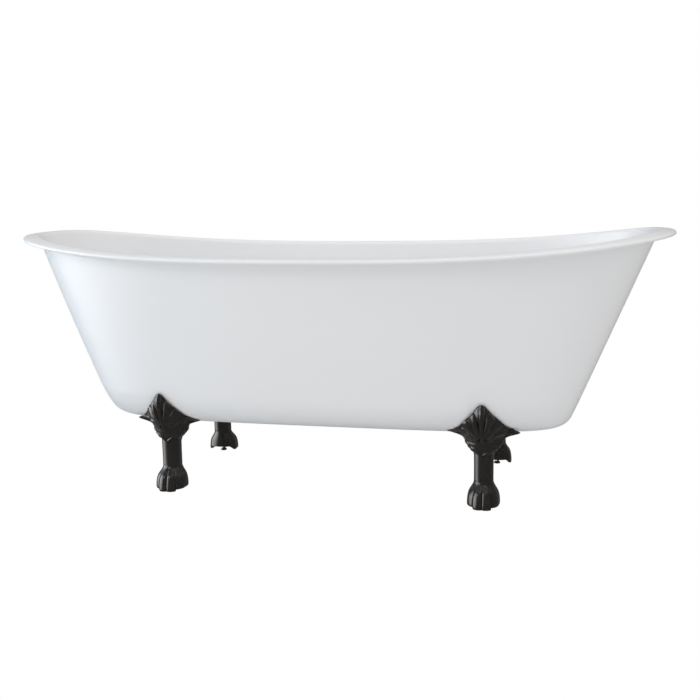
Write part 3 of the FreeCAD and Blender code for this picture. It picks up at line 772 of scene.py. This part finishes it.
enamel = material("white_enamel", (0.80, 0.805, 0.812), 0.3, coat=0.06, specular=0.35,
                  fine=60.0, patch=3.0, vary=0.01, bump=0.05, bump_distance=0.0005)
black_iron = material("black_iron", (0.0160, 0.0130, 0.0115), 0.22, fine=420.0, patch=25.0,
                      vary=0.2, bump=0.04, bump_distance=0.0003)
# painted shade: the dark colour of the overflow hole's band and bore stands for the shade inside
# the hole
painted_hole_shade = material("painted_hole_shade", (0.090, 0.085, 0.080), 0.6, patch=60.0, vary=0.15)
zinc = material("zinc_steel", (0.42, 0.42, 0.41), 0.38, metallic=1.0, fine=1500.0, patch=40.0,
                vary=0.08)
dark_plastic = material("pad_plastic", (0.03, 0.03, 0.03), 0.5, fine=1200.0, patch=60.0,
                        vary=0.1, bump=0.2)

# ---- pieces
tub = make_object("tub", build_tub)
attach(tub, "tub")
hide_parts("tub_casting")
tub.data.materials.append(enamel)
# the tub's second material, painted shade of the overflow hole
tub.data.materials.append(painted_hole_shade)     # HOLE_SHADE_INDEX

pattern = make_object("foot_pattern", build_foot, smooth_angle=48)
pattern.data.materials.append(black_iron)
CORNERS = (("front_left", -1, -1), ("front_right", 1, -1),
           ("rear_left", -1, 1), ("rear_right", 1, 1))
for corner, sx, sy in CORNERS:
    add_foot(corner, sx, sy, pattern)
bpy.data.objects.remove(pattern)

STEEL_NODES = ("foot_bolt", "foot_washer", "lock_nut", "levelling_bolt")
for name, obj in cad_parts.items():
    if name.startswith(STEEL_NODES):
        obj.data.materials.clear()
        obj.data.materials.append(zinc)
    elif name.startswith("levelling_pad"):
        obj.data.materials.clear()
        obj.data.materials.append(dark_plastic)

# ---- room
WHITE, PALE_FLOOR = (1, 1, 1, 1), (0.88, 0.88, 0.88, 1)
DAYLIGHT, DAYLIGHT_STRENGTH = (1.0, 0.995, 0.995, 1), 0.80
# the floor in metres, below the pads' lowest place, so that no pose hides them
FLOOR_SIZE, FLOOR_HEIGHT = 9.0, -0.0115
# what the gloss mirrors: a grey room with one bright soft card at the left, given by its
# direction and the cosines from it at which the brightness starts and is full
ROOM_GREY, CARD_WHITE = (0.20, 0.196, 0.192, 1), (5.0, 4.9, 4.8, 1)
CARD_DIRECTION, CARD_STARTS, CARD_FULL = (-0.95, -0.31, 0.12), 0.74, 0.97


def backdrop_material():
    """White to the camera; a pale floor to the light."""
    mat = bpy.data.materials.new("white_floor")
    tree = empty_tree(mat)
    out = tree.nodes.new("ShaderNodeOutputMaterial")
    glow = add_node(tree, "ShaderNodeEmission", {"Color": WHITE, "Strength": 1.0})
    pale = add_node(tree, "ShaderNodeBsdfDiffuse", {"Color": PALE_FLOOR})
    path = tree.nodes.new("ShaderNodeLightPath")
    surface = mix_shaders(tree, path.outputs["Is Camera Ray"],
                          pale.outputs["BSDF"], glow.outputs["Emission"])
    tree.links.new(surface, out.inputs["Surface"])
    return mat


def build_floor(bm):
    bmesh.ops.create_grid(bm, x_segments=1, y_segments=1, size=FLOOR_SIZE,
                          matrix=Matrix.Translation((0, 0, FLOOR_HEIGHT)))


def add_world():
    """White to the camera, plain daylight to the surfaces, the grey room to their gloss."""
    world = bpy.data.worlds.new("room")
    bpy.context.scene.world = world
    tree = empty_tree(world)
    out = tree.nodes.new("ShaderNodeOutputWorld")
    seen = add_node(tree, "ShaderNodeBackground", {"Color": WHITE})
    lit = add_node(tree, "ShaderNodeBackground", {"Color": DAYLIGHT, "Strength": DAYLIGHT_STRENGTH})
    mirrored = tree.nodes.new("ShaderNodeBackground")
    heading = tree.nodes.new("ShaderNodeTexCoord")
    towards = tree.nodes.new("ShaderNodeVectorMath")
    towards.operation = "DOT_PRODUCT"
    towards.inputs[1].default_value = Vector(CARD_DIRECTION).normalized()
    edge = add_node(tree, "ShaderNodeMapRange", {"From Min": CARD_STARTS, "From Max": CARD_FULL})
    edge.interpolation_type = "SMOOTHSTEP"
    tree.links.new(heading.outputs["Generated"], towards.inputs[0])
    tree.links.new(towards.outputs["Value"], edge.inputs["Value"])
    tree.links.new(mix_colours(tree, edge.outputs["Result"], ROOM_GREY, CARD_WHITE),
                   mirrored.inputs["Color"])
    path = tree.nodes.new("ShaderNodeLightPath")
    gloss = mix_shaders(tree, path.outputs["Is Glossy Ray"],
                        lit.outputs["Background"], mirrored.outputs["Background"])
    surface = mix_shaders(tree, path.outputs["Is Camera Ray"], gloss, seen.outputs["Background"])
    tree.links.new(surface, out.inputs["Surface"])


def soft_box(name, place, target, size, power, colour):
    """A rectangular lamp at a place in metres, turned to its target."""
    light = bpy.data.lights.new(name, "AREA")
    light.shape = "RECTANGLE"
    light.size, light.size_y = size
    light.energy = power
    light.color = colour
    obj = bpy.data.objects.new(name, light)
    obj.location = place
    obj.rotation_mode = "QUATERNION"
    obj.rotation_quaternion = (Vector(target) - Vector(place)).to_track_quat("-Z", "Y")
    bpy.context.scene.collection.objects.link(obj)


floor = make_object("floor", build_floor)
floor.data.materials.append(backdrop_material())
floor.visible_glossy = False
add_world()
soft_box("window_left", (-3.3, -0.4, 1.05), (-0.6, 0, 0.35), (2.2, 2.0), 26.0, (0.44, 0.75, 1.0))
soft_box("ceiling", (0.8, -0.6, 3.2), (0, 0, 0.3), (3.0, 2.0), 20.0, (1.0, 0.99, 0.98))
soft_box("lamp_upper_left", (-1.6, -2.6, 2.4), (0, 0, 0.3), (0.9, 0.9), 12.0, (1.0, 0.99, 0.98))

# ---- camera, solved from the outlines of tub and feet in the photo
AZIMUTH, ELEVATION, ROLL = math.radians(13.43), math.radians(9.38), math.radians(-0.88)
TARGET = Vector((31.85, 0.0, 345.76)) * MM
DISTANCE = 2658.26 * MM
FOCAL_PIXELS, PICTURE_PIXELS, SENSOR_WIDTH = 993.65, 700, 36.0


def add_camera():
    back = Vector((math.sin(AZIMUTH) * math.cos(ELEVATION),
                   -math.cos(AZIMUTH) * math.cos(ELEVATION), math.sin(ELEVATION)))
    right = (-back).cross(Vector((0, 0, 1))).normalized()
    up = right.cross(-back)
    turned_right = right * math.cos(ROLL) + up * math.sin(ROLL)
    turned_up = up * math.cos(ROLL) - right * math.sin(ROLL)
    lens = bpy.data.cameras.new("camera")
    lens.sensor_width = SENSOR_WIDTH
    lens.lens = FOCAL_PIXELS * SENSOR_WIDTH / PICTURE_PIXELS
    camera = bpy.data.objects.new("camera", lens)
    place = Matrix((turned_right, turned_up, back)).transposed().to_4x4()
    place.translation = TARGET + back * DISTANCE
    camera.matrix_world = place
    bpy.context.scene.collection.objects.link(camera)
    bpy.context.scene.camera = camera


add_camera()
bpy.context.scene.view_settings.view_transform = "Standard"
